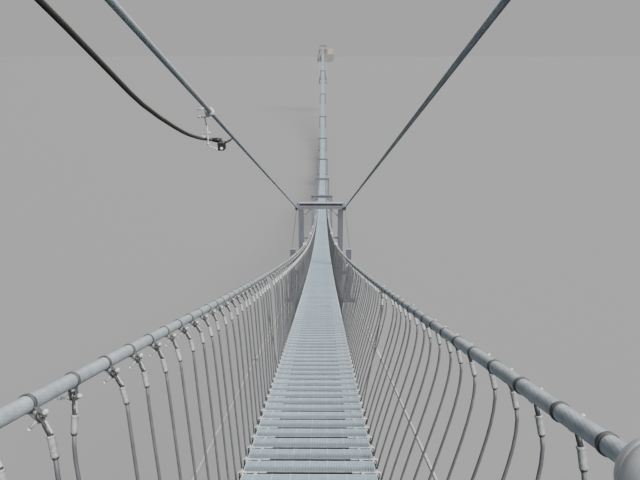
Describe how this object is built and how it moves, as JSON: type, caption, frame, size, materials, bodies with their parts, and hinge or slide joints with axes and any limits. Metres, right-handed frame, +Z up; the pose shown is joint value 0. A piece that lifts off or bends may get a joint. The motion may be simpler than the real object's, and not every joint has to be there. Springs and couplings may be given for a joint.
{
  "type": "rope suspension footbridge, 1:10 scale model",
  "caption": "Rope suspension footbridge with sagging handrail ropes, hangers, a narrow grating deck, portal frames, stays and concrete abutments; 1:10 scale model",
  "frame": {"origin": "middle of the near abutment's flat base", "axes": "+Y along the bridge from its near end, +X to the walker's right, +Z up"},
  "size_m": [0.64, 26, 2.3761],
  "materials": {
    "concrete": "cast concrete, matt",
    "render": "cream lime render, matt",
    "frame_steel": "galvanised steel sections, weathered to violet-grey",
    "grating": "hot-dip galvanised grating, pale blue-grey",
    "rope": "galvanised spiral strand, satin",
    "wire": "galvanised wire rope, satin",
    "fitting": "zinc-plated fittings and a dark junction box",
    "sheath": "weathered dark cable sheath"
  },
  "bodies": {
    "root": {"near_abutment": "concrete", "far_abutment": "concrete", "far_parapet_wall": "render", "near_end_frame": "frame_steel", "far_end_frame": "frame_steel", "near_stay_frame": "frame_steel", "far_stay_frame": "frame_steel", "portal_frame_1": "frame_steel", "portal_frame_2": "frame_steel", "portal_frame_3": "frame_steel", "portal_frame_4": "frame_steel", "portal_frame_5": "frame_steel", "portal_frame_6": "frame_steel", "portal_frame_7": "frame_steel", "portal_frame_8": "frame_steel", "deck_bay_1": "grating", "deck_bay_2": "grating", "deck_bay_3": "grating", "deck_bay_4": "grating", "deck_bay_5": "grating", "deck_bay_6": "grating", "deck_bay_7": "grating", "deck_bay_8": "grating", "deck_bay_9": "grating", "handrail_rope_left": "rope", "hangers_left_bay_1": "wire", "hangers_left_bay_2": "wire", "hangers_left_bay_3": "wire", "hangers_left_bay_4": "wire", "hangers_left_bay_5": "wire", "hangers_left_bay_6": "wire", "hangers_left_bay_7": "wire", "hangers_left_bay_8": "wire", "hangers_left_bay_9": "wire", "overhead_stay_near_left": "rope", "lower_stays_near_left": "rope", "overhead_stay_far_left": "rope", "lower_stays_far_left": "rope", "handrail_rope_right": "rope", "hangers_right_bay_1": "wire", "hangers_right_bay_2": "wire", "hangers_right_bay_3": "wire", "hangers_right_bay_4": "wire", "hangers_right_bay_5": "wire", "hangers_right_bay_6": "wire", "hangers_right_bay_7": "wire", "hangers_right_bay_8": "wire", "hangers_right_bay_9": "wire", "overhead_stay_near_right": "rope", "lower_stays_near_right": "rope", "overhead_stay_far_right": "rope", "lower_stays_far_right": "rope", "cable_junction": "fitting", "hanging_cable": "sheath"}
  },
  "joints": []
}
